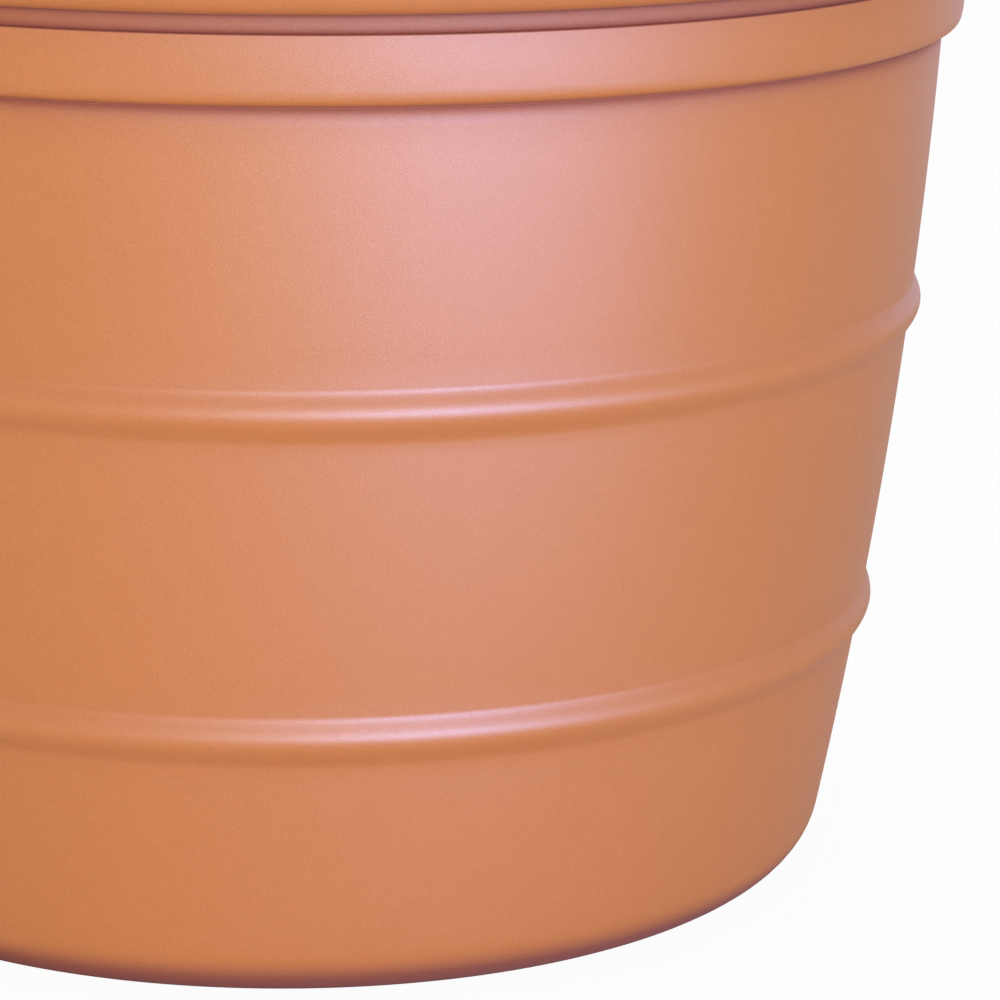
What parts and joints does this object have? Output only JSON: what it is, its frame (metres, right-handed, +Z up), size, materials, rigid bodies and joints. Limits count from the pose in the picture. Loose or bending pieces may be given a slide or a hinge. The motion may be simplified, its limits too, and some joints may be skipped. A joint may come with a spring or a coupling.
{
  "type": "rain barrel",
  "caption": "Upright ribbed rain barrel with a rounded belt at its middle, a dished lift-off lid with a strainer basket, a lever tap, an overflow spout and a capped link port.",
  "frame": {"origin": "middle of the barrel's underside, on its axis, on the surface that it stands on", "axes": "+Z up along the barrel's axis; the tap faces -Y, the overflow faces +Y, the link port faces -X"},
  "size_m": [0.65, 0.7011, 0.8798],
  "materials": {
    "terracotta_plastic": "satin moulded plastic, terracotta, fine grain",
    "black_plastic": "moulded black plastic",
    "stainless_mesh": "woven stainless wire",
    "seal_rubber": "matt black rubber",
    "brass": "cast and machined brass",
    "chrome": "chrome-plated brass",
    "white_seal": "smooth white fluoropolymer",
    "steel": "zinc-plated pressed steel"
  },
  "bodies": {
    "barrel": {"barrel_body": "terracotta_plastic", "tap_outer_gasket": "seal_rubber", "tap_inner_gasket": "seal_rubber", "tap_lock_nut": "brass", "tap_tailpiece": "brass", "tap_valve_body": "brass", "tap_inlet_seat": "white_seal", "tap_outlet_seat": "white_seal", "tap_stem_packing": "white_seal", "tap_gland_nut": "brass", "link_gasket": "seal_rubber", "link_lock_nut": "black_plastic", "link_nipple": "black_plastic", "overflow_gasket": "seal_rubber", "overflow_lock_nut": "black_plastic", "overflow_barb": "black_plastic"},
    "lid": {"lid": "terracotta_plastic"},
    "strainer": {"strainer_frame": "black_plastic", "strainer_mesh": "stainless_mesh"},
    "tap_handle": {"tap_lever": "steel", "tap_lever_nut": "steel", "tap_stem": "brass", "tap_ball": "chrome"},
    "link_cap": {"link_cap": "black_plastic", "link_cap_washer": "seal_rubber"}
  },
  "joints": [
    {"name": "lid_lift", "type": "slide", "parent": "barrel", "child": "lid", "axis": [0, 0, 1], "range_m": [0, 0.2]},
    {"name": "strainer_lift", "type": "slide", "parent": "lid", "child": "strainer", "axis": [0, 0, 1], "range_m": [0, 0.12]},
    {"name": "tap_turn", "type": "hinge", "parent": "barrel", "child": "tap_handle", "pos_m": [0, -0.31535, 0.13], "axis": [0, 0, -1], "range_deg": [0, 90]},
    {"name": "link_cap_off", "type": "slide", "parent": "barrel", "child": "link_cap", "axis": [-1, 0, 0], "range_m": [0, 0.03]}
  ]
}
